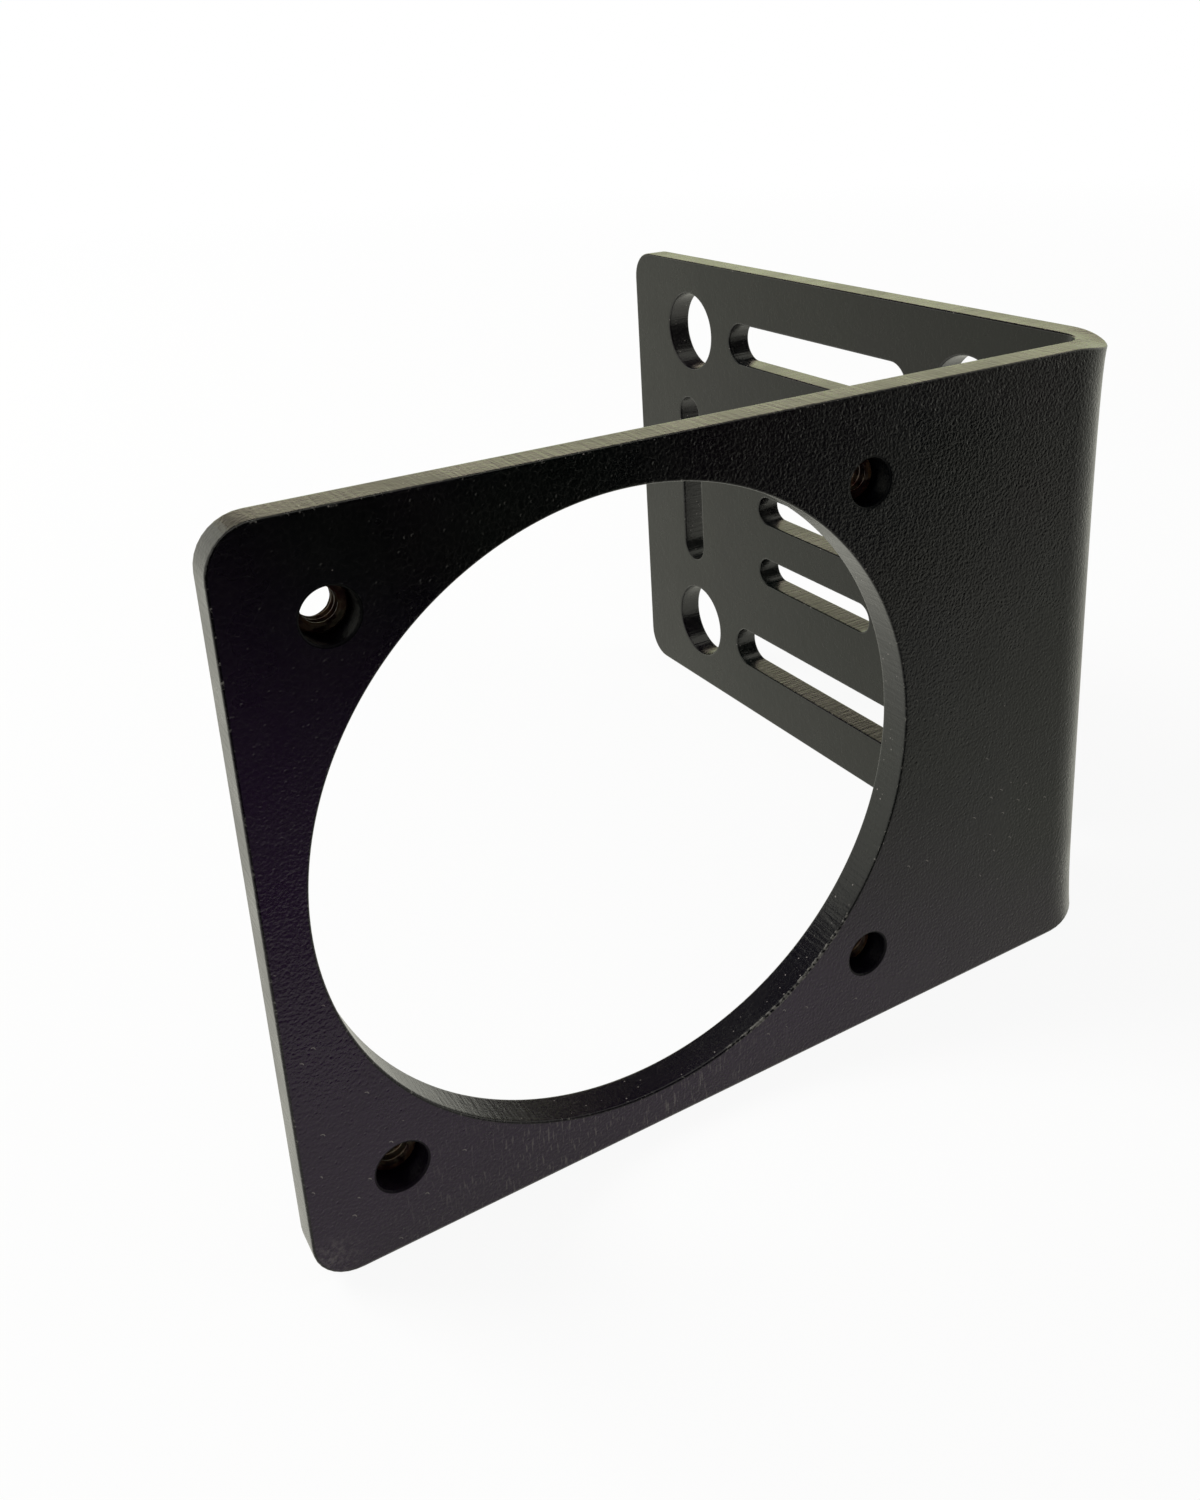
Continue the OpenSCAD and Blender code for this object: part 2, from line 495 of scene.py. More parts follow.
@dataclass
class Skin:
    """Collects the points and faces of one mesh, with lengths in millimetres."""

    points: list[np.ndarray] = field(default_factory=list)
    rims: list[np.ndarray] = field(default_factory=list)
    faces: list[list[int]] = field(default_factory=list)
    slots: list[int] = field(default_factory=list)
    corner_uvs: list[np.ndarray] = field(default_factory=list)
    size: int = 0

    def add_points(self, points: np.ndarray, rim: float = 0.0) -> np.ndarray:
        """Adds points.

        Args:
            points: One row for each point.
            rim: How much they belong to a rounded rim, from 0 to 1.

        Returns:
            The points' numbers.
        """
        self.points.append(points)
        self.rims.append(np.full(len(points), rim))
        self.size += len(points)
        return np.arange(self.size - len(points), self.size)

    def add_faces(self, faces: np.ndarray, slot: IntEnum, uvs: np.ndarray) -> None:
        """Adds faces of one material.

        Args:
            faces: One row of point numbers for each face.
            slot: The material slot.
            uvs: The UV place of each corner.
        """
        self.faces += faces.tolist()
        self.slots += [int(slot)] * len(faces)
        self.corner_uvs.append(uvs.reshape(-1, 2))

    def to_object(self, name: str, points: np.ndarray) -> bpy.types.Object:
        """Makes the object.

        Args:
            name: The object's name.
            points: Where each point lies in the part.

        Returns:
            The new object, in metres, with a UV map of the blank and the rim value.
        """
        mesh = bpy.data.meshes.new(name)
        mesh.from_pydata((points * MM).tolist(), [], self.faces)
        mesh.polygons.foreach_set("material_index", self.slots)
        mesh.polygons.foreach_set("use_smooth", [True] * len(self.faces))
        layer = mesh.uv_layers.new(name="blank")
        layer.uv.foreach_set("vector", (np.concatenate(self.corner_uvs) * MM).ravel())
        rim = mesh.attributes.new("rim", "FLOAT", "POINT")
        rim.data.foreach_set("value", np.concatenate(self.rims))
        mesh.validate()
        return link(bpy.data.objects.new(name, mesh))


@dataclass(frozen=True)
class Outline:
    """A closed outline on the flat blank: a rectangle with round corners, a slot or a circle.

    Lengths are in millimetres. The first coordinate runs along the blank from the front
    flange's free end, over the fold, to the rear flange's. The second is the height.
    """

    centre: Pair
    size: Pair
    corner: float
    step: float
    hole: bool = True
    wall: SheetPart = SheetPart.CUT_EDGE
    # How much of the rim's chips and painted highlight this outline takes
    wear_and_highlight: float = 1.0
    round_mm: float = 0.3
    round_rows: int = 6
    corner_steps: int = 4
    # The two rows on the face and the one on the wall over which the wear and the painted
    # highlight fade
    face_rows: Pair = (0.9, 0.3)
    wall_row: float = 0.25
    faded: float = 0.5
    # The share of it on the rim of the inner face
    back_wear_and_highlight: float = 0.8

    def trace(self) -> tuple[np.ndarray, np.ndarray]:
        """Walks round the outline, anticlockwise.

        Returns:
            The points, and at each the unit normal that points out of the rectangle.
        """
        reach = np.array(self.size) / 2 - self.corner
        signs = [(1, -1), (1, 1), (-1, 1), (-1, -1)]
        middles = [np.array(self.centre) + reach * sign for sign in signs]
        turns = max(self.corner_steps, math.ceil(self.corner * math.pi / 2 / self.step))
        points, normals = [], []
        for number, middle in enumerate(middles):
            for k in range(turns + 1):
                angle = math.radians(90 * (number - 1 + k / turns))
                normal = np.array([math.cos(angle), math.sin(angle)])
                points.append(middle + self.corner * normal)
                normals.append(normal)
            start = points.pop()
            normals.pop()
            end = middles[(number + 1) % 4] + self.corner * normal
            count = math.ceil(np.linalg.norm(end - start) / self.step - TINY)
            for k in range(count):
                points.append(start + (end - start) * k / count)
                normals.append(normal)
        return np.array(points), np.array(normals)

    def depth(self, points: np.ndarray) -> np.ndarray:
        """How far each point lies inside the material, measured from this outline.

        Args:
            points: One row for each point.

        Returns:
            The depths, which are negative outside the material.
        """
        away = np.abs(points - self.centre) - (np.array(self.size) / 2 - self.corner)
        outside = np.linalg.norm(np.maximum(away, 0), axis=1)
        signed = outside + np.minimum(away.max(axis=1), 0) - self.corner
        return signed if self.hole else -signed

    def section(self, sheet_t: float) -> list[Place]:
        """The section of the rim, from the outer face round to the inner face.

        Args:
            sheet_t: The thickness of the sheet.

        Returns:
            For each row of the rim, its inset into the face, its depth and its rim value.
        """
        e = self.round_mm
        rounding = [(e * (1 - math.sin(a)), e * (1 - math.cos(a)), 1.0)
                    for a in np.linspace(0, math.pi / 2, self.round_rows)]
        far, near = self.face_rows
        front = [(e + far, 0.0, 0.0), (e + near, 0.0, self.faded), *rounding,
                 (0.0, e + self.wall_row, self.faded)]
        wall = [(0.0, e + (sheet_t - 2 * e) * k / 4, 0.0) for k in (1, 2, 3)]
        back = [(inset, sheet_t - depth, value * self.back_wear_and_highlight)
                for inset, depth, value in reversed(front)]
        return front + wall + back


@dataclass
class FoldedSheet:
    """The folded plate, meshed as its flat blank and then folded.

    Lengths are in millimetres. The overall sizes and the places of the holes come from the
    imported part, and the rest repeats its own values.
    """

    sheet_t: float = 4.76
    fold_r: float = 7.0
    corner_r: float = 5.5
    nut_hole_d: float = 6.35
    row_slot: Pair = (52.0, 7.8)
    column_slot: Pair = (7.0, 36.0)
    mid_slot: Pair = (34.0, 5.5)
    mid_slot_pitch: float = 13.0
    # The mesh: its steps along the faces, the wide edges and the small holes, and how far
    # the points inside a face stay off its rims
    face_step: float = 2.5
    edge_step: float = 1.0
    hole_step: float = 0.6
    screw_step: float = 0.35
    face_gap: float = 0.7
    fold_columns: int = 24
    # How much tighter the fold is at its two ends, as amounts and the lengths they fade over
    tighter_top: tuple[Pair, ...] = ((1.7, 14.0), (0.5, 2.0))
    tighter_foot: tuple[Pair, ...] = ((1.1, 5.0),)
    tighter_inside: float = 0.36
    # How far the stretched side of the fold draws in at its top and at its foot
    draw_in: Pair = (0.9, 0.65)
    draw_in_fade: float = 3.0

    def __post_init__(self) -> None:
        """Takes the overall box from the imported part."""
        low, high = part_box(PLATE_NODE)
        self.low, self.high = np.array(low) / MM, np.array(high) / MM
        self.outer_r = self.fold_r + self.sheet_t
        self.height = self.high[2] - self.low[2]
        self.front_flat = self.high[0] - self.low[0] - self.outer_r
        self.rear_flat = self.high[1] - self.low[1] - self.outer_r
        self.fold_len = (self.fold_r + self.sheet_t / 2) * math.pi / 2
        self.blank_len = self.front_flat + self.fold_len + self.rear_flat

    def on_front(self, name: str) -> Pair:
        """The blank coordinates of a mount on the front flange."""
        x, _, z = np.array(mount(name)["pos_m"]) / MM
        return x - self.low[0], z - self.low[2]

    def on_rear(self, name: str) -> Pair:
        """The blank coordinates of a mount on the rear flange."""
        _, y, z = np.array(mount(name)["pos_m"]) / MM
        return self.blank_len - (self.high[1] - y), z - self.low[2]

    def outlines(self) -> list[Outline]:
        """The blank's edge and every hole in it.

        Returns:
            The blank's own outline, then the holes.
        """
        blank = Outline((self.blank_len / 2, self.height / 2), (self.blank_len, self.height),
                        self.corner_r, self.edge_step, hole=False)
        inlet_r = mount("inlet_hole")["dims"]["r_mm"]
        inlet = Outline(self.on_front("inlet_hole"), (2 * inlet_r, 2 * inlet_r), inlet_r,
                        self.edge_step)
        # The screw holes' rims take no chips and no painted highlight
        screws = [Outline(place, (self.nut_hole_d, self.nut_hole_d), self.nut_hole_d / 2,
                          self.screw_step, wall=SheetPart.SCREW_WALL, wear_and_highlight=0.0)
                  for place in self._pattern("inlet_screws", self.on_front("inlet_screws"))]
        bolt_r = mount("wall_bolts")["dims"]["hole_r_mm"]
        bolts = [Outline(place, (2 * bolt_r, 2 * bolt_r), bolt_r, self.hole_step)
                 for place in self._pattern("wall_bolts", self.on_rear("wall_bolts"))]
        middle, up = self.on_rear("wall_bolts")
        slots = [(self.on_rear("upper_row_slot"), self.row_slot),
                 (self.on_rear("lower_row_slot"), self.row_slot),
                 (self.on_rear("end_column_slot"), self.column_slot),
                 (self.on_rear("fold_column_slot"), self.column_slot)]
        slots += [((middle, up + step * self.mid_slot_pitch), self.mid_slot)
                  for step in (-1, 0, 1)]
        return [blank, inlet, *screws, *bolts,
                *(Outline(place, size, min(size) / 2, self.hole_step)
                  for place, size in slots)]

    def _pattern(self, name: str, middle: Pair) -> list[Pair]:
        """The centres of a bolt pattern on the blank.

        Args:
            name: The mount that gives its spacings.
            middle: The pattern's middle.

        Returns:
            The four centres.
        """
        dims = mount(name)["dims"]
        across, up = dims["spacing_x_mm"] / 2, dims["spacing_y_mm"] / 2
        return [(middle[0] + x * across, middle[1] + z * up) for x in (-1, 1) for z in (-1, 1)]

    def fold_up(self, blank: np.ndarray) -> np.ndarray:
        """Folds points of the flat blank to their place in the part.

        Args:
            blank: Rows of distance along the blank, height, and depth under the outer face.

        Returns:
            Rows of x, y and z.
        """
        along, up, depth = blank.T
        past = along - self.front_flat
        share = np.clip(past / self.fold_len, 0, 1)
        deep = depth / self.sheet_t
        from_top = self.height - up
        tighter = sum(amount * np.exp(-from_top / fade) for amount, fade in self.tighter_top)
        tighter += sum(amount * np.exp(-up / fade) for amount, fade in self.tighter_foot)
        tighter *= 1 + self.tighter_inside * deep
        radius = self.outer_r - depth - tighter
        arc = radius * math.pi / 2
        travel = share * (2 * tighter + arc)
        turn = np.clip((travel - tighter) / radius, 0, math.pi / 2)
        x = (self.high[0] - self.outer_r + np.minimum(past, 0) + np.minimum(travel, tighter)
             + radius * np.sin(turn))
        y = (self.low[1] + self.outer_r - tighter - radius * np.cos(turn)
             + np.maximum(travel - tighter - arc, 0) + np.maximum(past - self.fold_len, 0))
        drawn = np.sin(math.pi * share) ** 2 * (1 - deep)
        z = (self.low[2] + up - self.draw_in[0] * drawn * np.exp(-from_top / self.draw_in_fade)
             + self.draw_in[1] * drawn * np.exp(-up / self.draw_in_fade))
        return np.stack([x, y, z], axis=1)

    def build(self) -> bpy.types.Object:
        """Meshes the sheet.

        Returns:
            The new object.
        """
        skin = Skin()
        outlines = self.outlines()
        rims = [self._add_rim(skin, outline) for outline in outlines]
        inside = self._face_points(outlines)
        flat = np.concatenate([*(points for points, _, _ in rims), inside])
        triangles = self._triangulate(outlines, [points for points, _, _ in rims], flat)
        for which, depth, part in ((1, 0.0, SheetPart.OUTER), (2, self.sheet_t, SheetPart.INNER)):
            numbers = skin.add_points(np.column_stack([inside, np.full(len(inside), depth)]))
            numbers = np.concatenate([*(rim[which] for rim in rims), numbers])
            turned = triangles if part is SheetPart.OUTER else triangles[:, ::-1]
            skin.add_faces(numbers[turned], part, flat[turned])
        return skin.to_object("folded_sheet", self.fold_up(np.concatenate(skin.points)))

    def _add_rim(self, skin: Skin, outline: Outline) -> tuple[np.ndarray, np.ndarray, np.ndarray]:
        """Adds the rounded rim and the wall along one outline.

        Args:
            skin: The mesh that takes them.
            outline: The outline.

        Returns:
            The rim's innermost points on the blank, and their numbers on the outer and on the
            inner face.
        """
        points, normals = outline.trace()
        into = normals if outline.hole else -normals
        section = outline.section(self.sheet_t)
        rows = [skin.add_points(np.column_stack([points + into * inset,
                                                 np.full(len(points), depth)]),
                                value * outline.wear_and_highlight) for inset, depth, value in section]
        steps = np.linalg.norm(np.roll(points, -1, axis=0) - points, axis=1)
        end = np.cumsum(steps)
        start = end - steps
        for row in range(len(section) - 1):
            depths = [section[row][1], section[row + 1][1]]
            if section[row][0] <= outline.round_mm and section[row + 1][0] <= outline.round_mm:
                part = outline.wall
            else:
                part = SheetPart.OUTER if row < len(section) / 2 else SheetPart.INNER
            faces = np.stack([rows[row], rows[row + 1], np.roll(rows[row + 1], -1),
                              np.roll(rows[row], -1)], axis=1)
            arcs = np.stack([start, start, end, end], axis=1)
            deep = np.broadcast_to([depths[0], depths[1], depths[1], depths[0]], arcs.shape)
            uvs = np.stack([arcs, deep], axis=2)
            if outline.hole:
                faces, uvs = faces[:, ::-1], uvs[:, ::-1]
            skin.add_faces(faces, part, uvs)
        return points + into * section[0][0], rows[0], rows[-1]

    def _face_points(self, outlines: list[Outline]) -> np.ndarray:
        """The grid of points inside the faces, with closer columns over the fold.

        Args:
            outlines: The blank's edge and its holes.

        Returns:
            One row for each point.
        """
        fold_end = self.front_flat + self.fold_len
        columns = np.concatenate([
            np.linspace(0, self.front_flat, round(self.front_flat / self.face_step),
                        endpoint=False),
            np.linspace(self.front_flat, fold_end, self.fold_columns, endpoint=False),
            np.linspace(fold_end, self.blank_len, round(self.rear_flat / self.face_step))])
        rows = np.linspace(0, self.height, round(self.height / self.face_step) + 1)
        grid = np.stack(np.meshgrid(columns, rows), axis=-1).reshape(-1, 2)
        clear = np.all([outline.depth(grid) > outline.section(self.sheet_t)[0][0] + self.face_gap
                        for outline in outlines], axis=0)
        return grid[clear]

    def _triangulate(self, outlines: list[Outline], rings: list[np.ndarray],
                     flat: np.ndarray) -> np.ndarray:
        """Joins the rims and the points inside the face into triangles.

        Args:
            outlines: The blank's edge and its holes.
            rings: The innermost points of each rim.
            flat: All the points, the rings first.

        Returns:
            The triangles, anticlockwise, as numbers into flat.
        """
        edges, owners, start = [], np.full(len(flat), -1), 0
        for number, (outline, ring) in enumerate(zip(outlines, rings)):
            count = len(ring)
            edges += [(start + i, start + (i + 1) % count) for i in range(count)]
            owners[start:start + count] = number if outline.hole else -1
            start += count
        found = delaunay_2d_cdt([Vector(p) for p in flat], edges, [], 0, TINY)
        triangles = np.array([ids[0] for ids in found[3]])[np.array(found[2])]
        owner = owners[triangles]
        in_hole = (owner[:, 0] >= 0) & (owner == owner[:, :1]).all(axis=1)
        return triangles[~in_hole]

    def dress(self, sheet: bpy.types.Object) -> None:
        """Gives each part of the sheet its coat.

        Args:
            sheet: The object that build returned.
        """
        coats = {
            SheetPart.OUTER: PowderCoat("powder_coat_outer", nick_and_highlight_share=0.7, streak_share=0.38),
            # The inner faces get a lighter, more olive copy of the powder: painted light on the
            # faces the key lamp falls on
            SheetPart.INNER: PowderCoat("powder_coat_inner", black="#10110d", blue="#0f0f0d",
                                        green="#0e100c", violet_share=0.0, specular=0.28,
                                        pit_depth_mm=0.02, grain_depth_mm=0.014,
                                        swell_depth_mm=0.015),
            # Its dense pale dots are painted glints
            SheetPart.CUT_EDGE: PowderCoat("powder_coat_cut_edge", violet_share=0.15,
                                           roughness=0.27, pit_depth_mm=0.02,
                                           grain_depth_mm=0.025, dust_and_glint_mm=1.0,
                                           dust_and_glint_r_mm=0.13, striation_mm=0.6,
                                           striation_depth_mm=0.05),
            SheetPart.SCREW_WALL: PowderCoat("powder_coat_screw_hole", black="#050505",
                                             violet_share=0.2, roughness=0.42, specular=0.14,
                                             pit_depth_mm=0.02, grain_depth_mm=0.05,
                                             striation_mm=0.45),
        }
        for part in SheetPart:
            sheet.data.materials.append(coats[part].build())


@dataclass
class ClinchNut:
    """A round clinch nut with a cut thread, pressed into the back of the front flange.

    Lengths are in millimetres. The axis runs along Y, from the shank's end inside the sheet to
    the back of the barrel.
    """

    node: str
    thread_pitch: float = 1.058
    crest_r: float = 1.98
    root_r: float = 2.41
    rim: float = 0.3
    back_mouth: float = 0.5
    shank_gap: float = 0.05
    # The thread's form: its height before it is cut flat at the root, and its flanks' slope
    thread_peak: float = 1.25
    thread_slope: float = 2.9
    segments: int = 72
    rows: int = 64
    round_rows: int = 5
    sharp_from: float = 35.0

    def __post_init__(self) -> None:
        """Takes the nut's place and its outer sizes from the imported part."""
        low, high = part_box(self.node)
        low, high = np.array(low) / MM, np.array(high) / MM
        self.centre = (low + high) / 2
        self.barrel_r = (high[0] - low[0]) / 2
        self.front, self.back = low[1], high[1]
        self.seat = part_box(PLATE_NODE)[0][1] / MM + FoldedSheet.sheet_t
        self.shank_r = FoldedSheet.nut_hole_d / 2 - self.shank_gap

    def section(self) -> list[Pair]:
        """The outer section, from the back mouth to the front one.

        Returns:
            The radius and the place along Y of each of its rows.
        """
        inner = self.barrel_r - self.rim
        soft = [(inner + self.rim * math.sin(a), self.back - self.rim * (1 - math.cos(a)))
                for a in np.linspace(0, math.pi / 2, self.round_rows)]
        return [(self.crest_r + self.back_mouth, self.back), *soft, (self.barrel_r, self.seat),
                (self.shank_r, self.seat), (self.shank_r, self.front + self.rim),
                (self.shank_r - self.rim, self.front), (self.crest_r + self.rim, self.front)]

    def thread_radius(self, place: float, angle: np.ndarray) -> np.ndarray:
        """The bore's radius, cut by a right-hand thread between two countersunk mouths.

        Args:
            place: The place along Y.
            angle: The angles round the axis, in radians.

        Returns:
            The radius at each angle.
        """
        phase = (place / self.thread_pitch + angle / (2 * math.pi)) % 1
        cut = np.clip(self.thread_peak - np.abs(phase - 0.5) * self.thread_slope, 0, 1)
        mouth = max(self.rim - (place - self.front), self.back_mouth - (self.back - place), 0)
        return np.maximum(self.crest_r + (self.root_r - self.crest_r) * cut, self.crest_r + mouth)

    def build(self) -> bpy.types.Object:
        """Turns the section round the axis and closes it with the threaded bore.

        Returns:
            The new object.
        """
        skin = Skin()
        angles = np.linspace(0, 2 * math.pi, self.segments, endpoint=False)
        section = self.section()
        rings = [(np.full(self.segments, radius), y) for radius, y in section]
        rings += [(self.thread_radius(y, angles), y)
                  for y in np.linspace(self.front, self.back, self.rows)[1:-1]]
        rows = [skin.add_points(np.column_stack([
            self.centre[0] + radius * np.cos(angles), np.full(self.segments, y),
            self.centre[2] + radius * np.sin(angles)])) for radius, y in rings]
        # The powder ends at the seat: the last four rows of the section are the bare shank
        coated_rows = len(section) - 4
        for number, row in enumerate(rows):
            following = rows[(number + 1) % len(rows)]
            part = NutPart.BARREL if number < coated_rows else NutPart.THREAD
            faces = np.stack([row, np.roll(row, -1), np.roll(following, -1), following], axis=1)
            skin.add_faces(faces, part, np.zeros((len(faces), 4, 2)))
        nut = skin.to_object("dressed_" + self.node, np.concatenate(skin.points))
        nut.data.set_sharp_from_angle(angle=math.radians(self.sharp_from))
        return nut


@dataclass(frozen=True)
class Studio:
    """A pale floor, soft light and the camera of the photograph.

    Lengths are in metres and angles in degrees. The picture is taken to be 1200 by 1500.
    """

    picture: tuple[int, int] = (1200, 1500)
    sensor_mm: float = 36.0
    camera_at: Place = (-0.08915, -0.19188, 0.13388)
    heading: float = 30.6
    pitch: float = -18.95
    roll: float = 2.65
    focal_px: float = 1371.7
    axis_px: Pair = (658.9, 519.8)
    clip_start: float = 0.01
    sky: str = "#eeeeea"
    sky_strength: float = 0.4
    mirrored_white: str = "#fffff1"
    floor_white: str = "#f4f4f2"
    floor_radius: float = 3.0
    floor_sides: int = 96
    # The share of white in the floor near the object, and where it grows to all of it
    white_share: float = 0.92
    white_range: Pair = (0.4, 1.2)
    dark: str = "#020202"
    sage: str = "#eeffb8"
    beige: str = "#fff0da"
    panel_strength: float = 1.4
    shade_strength: float = 0.5
    # The shade and the flag on the floor: where they start and end, and how high they lie
    shade_from: float = -0.0645
    flags_to: float = -1.4
    shade_up: float = 0.0004
    flag_up: float = 0.001
    curtain_half: float = 1.6
    lamps_aim: Place = (0.0, 0.0, 0.045)

    def camera(self) -> None:
        """Stands the camera where the photograph was taken, with the shift of its framing."""
        width, height = self.picture
        data = bpy.data.cameras.new("camera")
        data.sensor_width = self.sensor_mm
        data.lens = self.sensor_mm * self.focal_px / height
        data.shift_x = (width / 2 - self.axis_px[0]) / height
        data.shift_y = (self.axis_px[1] - height / 2) / height
        data.clip_start = self.clip_start
        camera = link(bpy.data.objects.new("camera", data))
        turned = (Matrix.Rotation(math.radians(-self.heading), 4, "Z")
                  @ Matrix.Rotation(math.radians(90 + self.pitch), 4, "X")
                  @ Matrix.Rotation(math.radians(-self.roll), 4, "Z"))
        camera.matrix_world = Matrix.Translation(self.camera_at) @ turned
        bpy.context.scene.camera = camera

    def white(self, tree: Tree, glossy: Socket) -> Node:
        """White, or the slightly warmer white that reflections show.

        Args:
            tree: The node tree that takes it.
            glossy: The output that is 1 for a reflection and 0 otherwise.

        Returns:
            The node that gives the colour.
        """
        return add_node(tree, "Mix", {"Factor": glossy, "A": linear("#ffffff"),
                                      "B": linear(self.mirrored_white)}, data_type="RGBA")

    def world(self) -> None:
        """A surround that looks white and lights the object at the strength of the sky."""
        world = bpy.data.worlds.new("surround")
        tree = new_tree(world)
        rays = add_node(tree, "LightPath").outputs
        seen = add_node(tree, "Math", {0: rays["Is Camera Ray"], 1: rays["Is Glossy Ray"]},
                        operation="MAXIMUM")
        seen = add_node(tree, "Math", {0: seen, 1: rays["Is Transmission Ray"]},
                        operation="MAXIMUM")
        light = add_node(tree, "Background", {"Color": linear(self.sky),
                                              "Strength": self.sky_strength})
        white = self.white(tree, rays["Is Glossy Ray"])
        white = add_node(tree, "Background", {"Color": white})
        both = add_node(tree, "MixShader", {0: seen, 1: light, 2: white})
        add_node(tree, "OutputWorld", {"Surface": both})
        bpy.context.scene.world = world

    def card(self, name: str, points: list[Place],
             faces: list[list[int]] | None = None) -> bpy.types.Object:
        """A flat or folded card of the studio.

        Args:
            name: Its name.
            points: Its corners.
            faces: Its faces, or one face through all the corners.

        Returns:
            The new object.
        """
        mesh = bpy.data.meshes.new(name)
        mesh.from_pydata(points, [], faces or [list(range(len(points)))])
        card = link(bpy.data.objects.new(name, mesh))
        return card

    def for_gloss_only(self, card: bpy.types.Object, shader_kind: str, inputs: Inputs) -> None:
        """Gives a card one plain shader, and shows it to reflections alone.

        Args:
            card: The card.
            shader_kind: The kind of its shader node.
            inputs: The shader's inputs.
        """
        material = bpy.data.materials.new(card.name)
        tree = new_tree(material)
        shader = add_node(tree, shader_kind, inputs)
        add_node(tree, "OutputMaterial", {"Surface": shader})
        card.data.materials.append(material)
        card.visible_camera = False
        card.visible_diffuse = False
        card.visible_shadow = False
        card.visible_transmission = False

    def floor(self) -> None:
        """A round pale floor that keeps the object's shadow."""
        turns = [2 * math.pi * k / self.floor_sides for k in range(self.floor_sides)]
        floor = self.card("floor", [(self.floor_radius * math.cos(a),
                                     self.floor_radius * math.sin(a), 0) for a in turns])
        material = bpy.data.materials.new("pale_floor")
        tree = new_tree(material)
        rays = add_node(tree, "LightPath").outputs
        matt = add_node(tree, "BsdfDiffuse", {"Color": linear(self.floor_white)})
        white = self.white(tree, rays["Is Glossy Ray"])
        white = add_node(tree, "Emission", {"Color": white})
        away = add_node(tree, "VectorMath", {0: add_node(tree, "TexCoord").outputs["Object"]},
                        operation="LENGTH").outputs["Value"]
        share = add_node(tree, "MapRange", {"Value": away, FROM: self.white_range,
                                            TO: (self.white_share, 1.0)})
        seen = add_node(tree, "Math", {0: rays["Is Camera Ray"], 1: rays["Is Transmission Ray"]},
                        operation="MAXIMUM")
        share = add_node(tree, "Math", {0: seen, 1: share}, operation="MULTIPLY")
        share = add_node(tree, "Math", {0: share, 1: rays["Is Glossy Ray"]}, operation="MAXIMUM")
        both = add_node(tree, "MixShader", {0: share, 1: matt, 2: white})
        add_node(tree, "OutputMaterial", {"Surface": both})
        floor.data.materials.append(material)

    def flags(self) -> None:
        """A shade and a flag on the floor and a bent curtain, which only reflections see.

        They are painted shade, shown to reflections alone: a shadow on the floor and an unlit
        room.
        They darken the front face towards its free upper corner, and the walls of the holes.
        """
        near, far = self.shade_from, self.flags_to
        front = [(far, near), (0.5, near), (0.5, far), (far, far)]
        shade = self.card("front_shade", [(x, y, self.shade_up) for x, y in front])
        self.for_gloss_only(shade, "Emission", {"Color": linear(self.mirrored_white),
                                                "Strength": self.shade_strength})
        slanted = [(far, -0.115), (0.0, -0.12), (1.2, -0.78), (1.2, far), (far, far)]
        flag = self.card("floor_flag", [(x, y, self.flag_up) for x, y in slanted])
        self.for_gloss_only(flag, "BsdfDiffuse", {"Color": linear(self.dark)})
        bends = [(far, self.flag_up), (-1.3, 0.7), (-0.95, 1.25), (-0.45, 1.5)]
        points = [(x, y, z) for y, z in bends for x in (-self.curtain_half, self.curtain_half)]
        faces = [[2 * k, 2 * k + 1, 2 * k + 3, 2 * k + 2] for k in range(len(bends) - 1)]
        curtain = self.card("front_flag", points, faces)
        self.for_gloss_only(curtain, "BsdfDiffuse", {"Color": linear(self.dark)})

    def panel(self) -> None:
        """A pale panel behind, sage below and beige above, which the upper edges mirror.

        Black stands above it and goes on to the left, so the large hole's wall is dark.
        """
        left, middle, right = (-1.9, 0.9), (-0.3, 1.9), (1.9, 0.6)
        black = ("BsdfDiffuse", {"Color": linear(self.dark)})
        sage, beige = (("Emission", {"Color": linear(hue), "Strength": self.panel_strength})
                       for hue in (self.sage, self.beige))
        for name, start, end, low, high, finish in (
                ("sage_panel", middle, right, 0.25, 0.43, sage),
                ("beige_panel", middle, right, 0.43, 0.75, beige),
                ("back_flag", middle, right, 0.75, 2.8, black),
                ("left_flag", left, middle, 1.0, 2.8, black)):
            corners = [(*start, low), (*end, low), (*end, high), (*start, high)]
            self.for_gloss_only(self.card(name, corners), *finish)

    def lamp(self, name: str, place: Place, size: float, watts: float) -> None:
        """Adds a soft square lamp that looks at the middle of the object and isn't mirrored.

        Args:
            name: The lamp's name.
            place: Where it stands.
            size: The length of its side.
            watts: Its power.
        """
        data = bpy.data.lights.new(name, "AREA")
        data.shape = "SQUARE"
        data.size = size
        data.energy = watts
        lamp = link(bpy.data.objects.new(name, data))
        lamp.visible_camera = False
        lamp.visible_glossy = False
        lamp.location = place
        aim = Vector(self.lamps_aim) - Vector(place)
        lamp.rotation_euler = aim.to_track_quat("-Z", "Y").to_euler()

    def build(self) -> None:
        """Sets up the camera, the surround, the floor, the cards, the lamps and the view."""
        self.camera()
        self.world()
        self.floor()
        self.flags()
        self.panel()
        self.lamp("key", (-0.8, 0.8, 1.0), 0.7, 18.0)
        self.lamp("fill", (0.9, -0.6, 1.1), 0.8, 2.0)
        bpy.context.scene.view_settings.view_transform = "Standard"


def join_frame(piece: bpy.types.Object, node: str) -> None:
    """Lets a piece ride on the part and stand for one of its nodes.

    Args:
        piece: The finished piece.
        node: The node that it stands for.
    """
    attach(piece, "root")
    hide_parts(node)
    LOG.info("%s: %d faces, stands for %s", piece.name, len(piece.data.polygons), node)


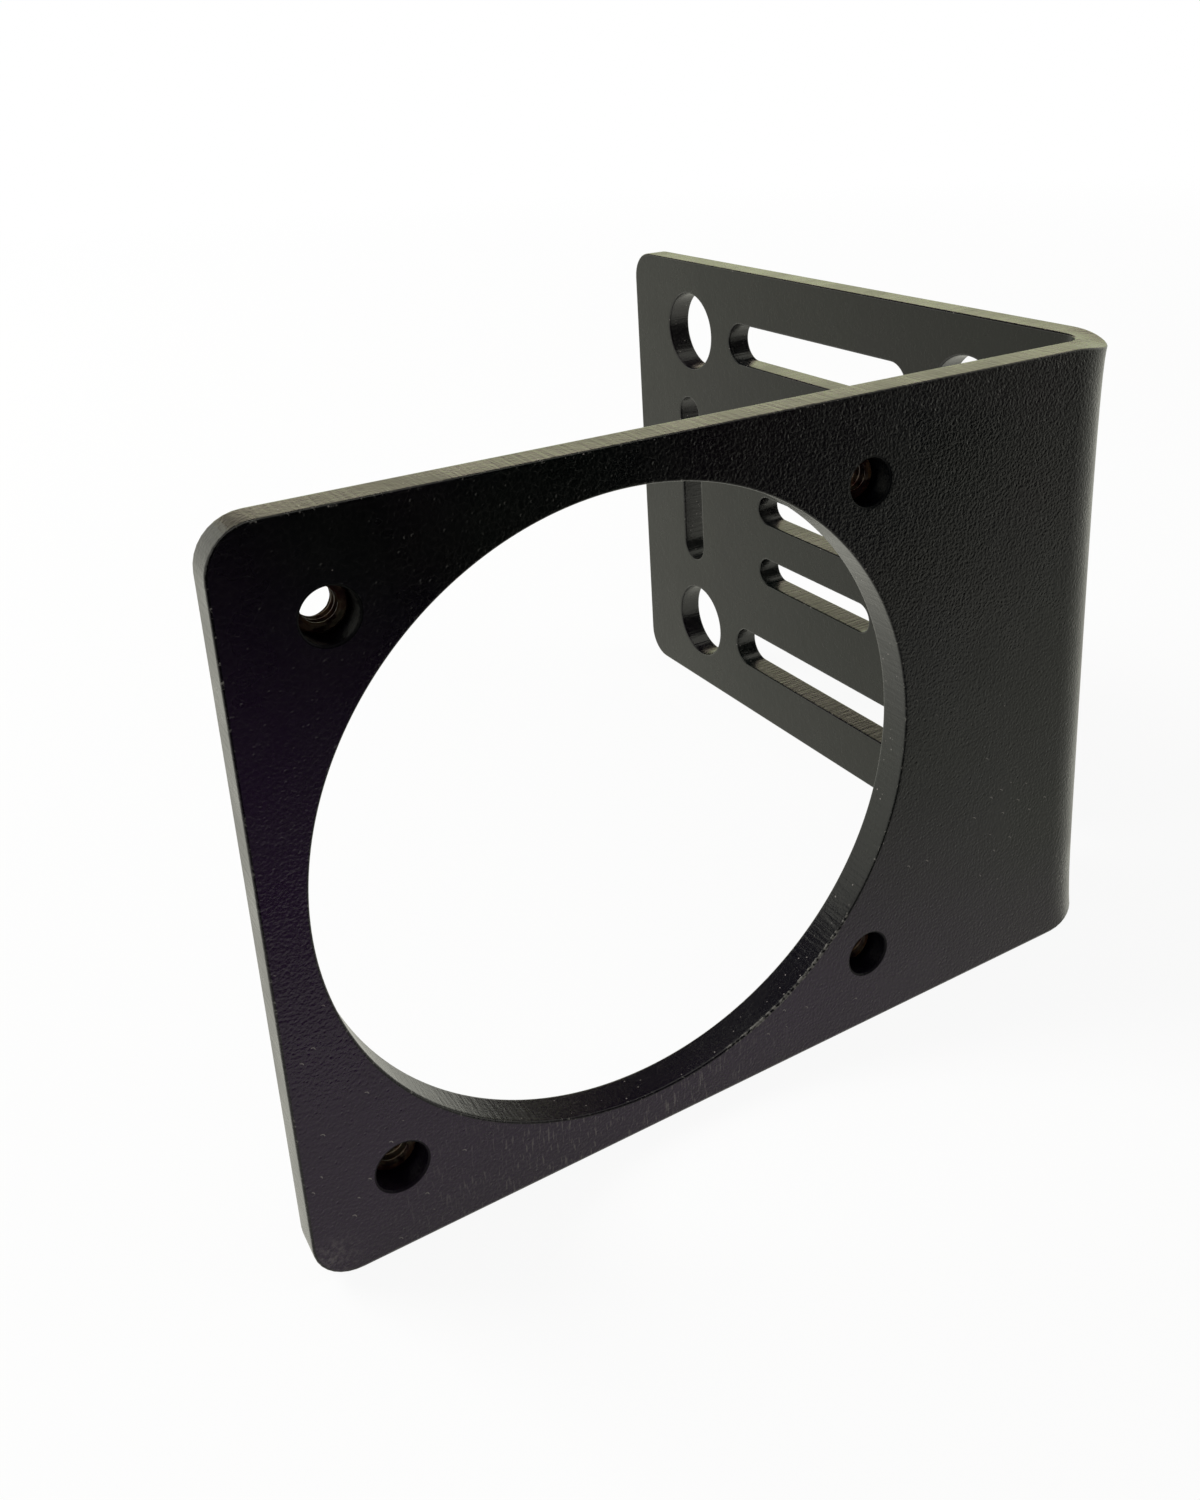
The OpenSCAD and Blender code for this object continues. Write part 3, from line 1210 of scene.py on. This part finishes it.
def main() -> None:
    """Builds the pieces in order."""
    logging.basicConfig(level=logging.INFO, format="%(message)s")
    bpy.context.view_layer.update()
    Studio().build()
    sheet = FoldedSheet()
    plate = sheet.build()
    sheet.dress(plate)
    join_frame(plate, PLATE_NODE)
    barrel = PowderCoat("powder_coat_barrel", violet_share=0.0, pit_depth_mm=0.02,
                        grain_depth_mm=0.04).build()
    thread = BareThreadSteel("bare_thread_steel").build()
    for node in NUT_NODES:
        nut = ClinchNut(node).build()
        nut.data.materials.append(barrel)
        nut.data.materials.append(thread)
        join_frame(nut, node)


if __name__ == "__main__":
    main()
